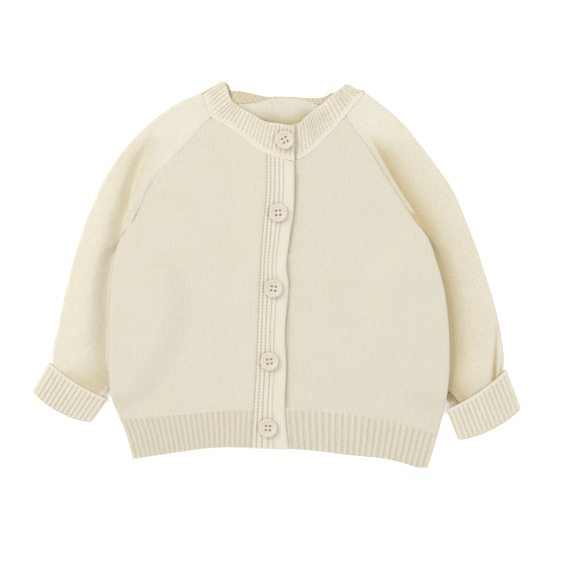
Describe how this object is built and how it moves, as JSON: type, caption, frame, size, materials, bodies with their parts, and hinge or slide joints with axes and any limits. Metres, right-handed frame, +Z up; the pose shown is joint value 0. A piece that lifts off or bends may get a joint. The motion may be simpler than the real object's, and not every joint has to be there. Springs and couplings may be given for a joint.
{
  "type": "baby cardigan",
  "caption": "Baby cardigan in fine cream knit, laid flat and buttoned: raglan sleeves, ribbed neckband, ribbed hem, turned-back ribbed cuffs and a buttoned front.",
  "frame": {"origin": "middle of the footprint, on the surface that the cardigan lies on", "axes": "+X to the right as seen from above with the front up, +Y towards the neck, +Z up from the surface"},
  "size_m": [0.438, 0.349, 0.0106],
  "materials": {
    "plain_knit": "soft matt cream stockinette knit",
    "rib_knit": "soft matt cream ribbed knit",
    "button": "pale ivory resin with a soft gloss"
  },
  "bodies": {
    "root": {"front_left": "plain_knit", "front_right": "plain_knit", "back": "plain_knit", "sleeve_left": "plain_knit", "sleeve_right": "plain_knit", "hem_front_left": "rib_knit", "hem_front_right": "rib_knit", "hem_back": "rib_knit", "button_band_upper": "rib_knit", "button_band_under": "rib_knit", "cuff_left": "rib_knit", "cuff_right": "rib_knit", "neckband_left": "rib_knit", "neckband_back": "rib_knit", "neckband_right": "rib_knit", "button_1": "button", "button_2": "button", "button_3": "button", "button_4": "button", "button_5": "button"}
  },
  "joints": []
}
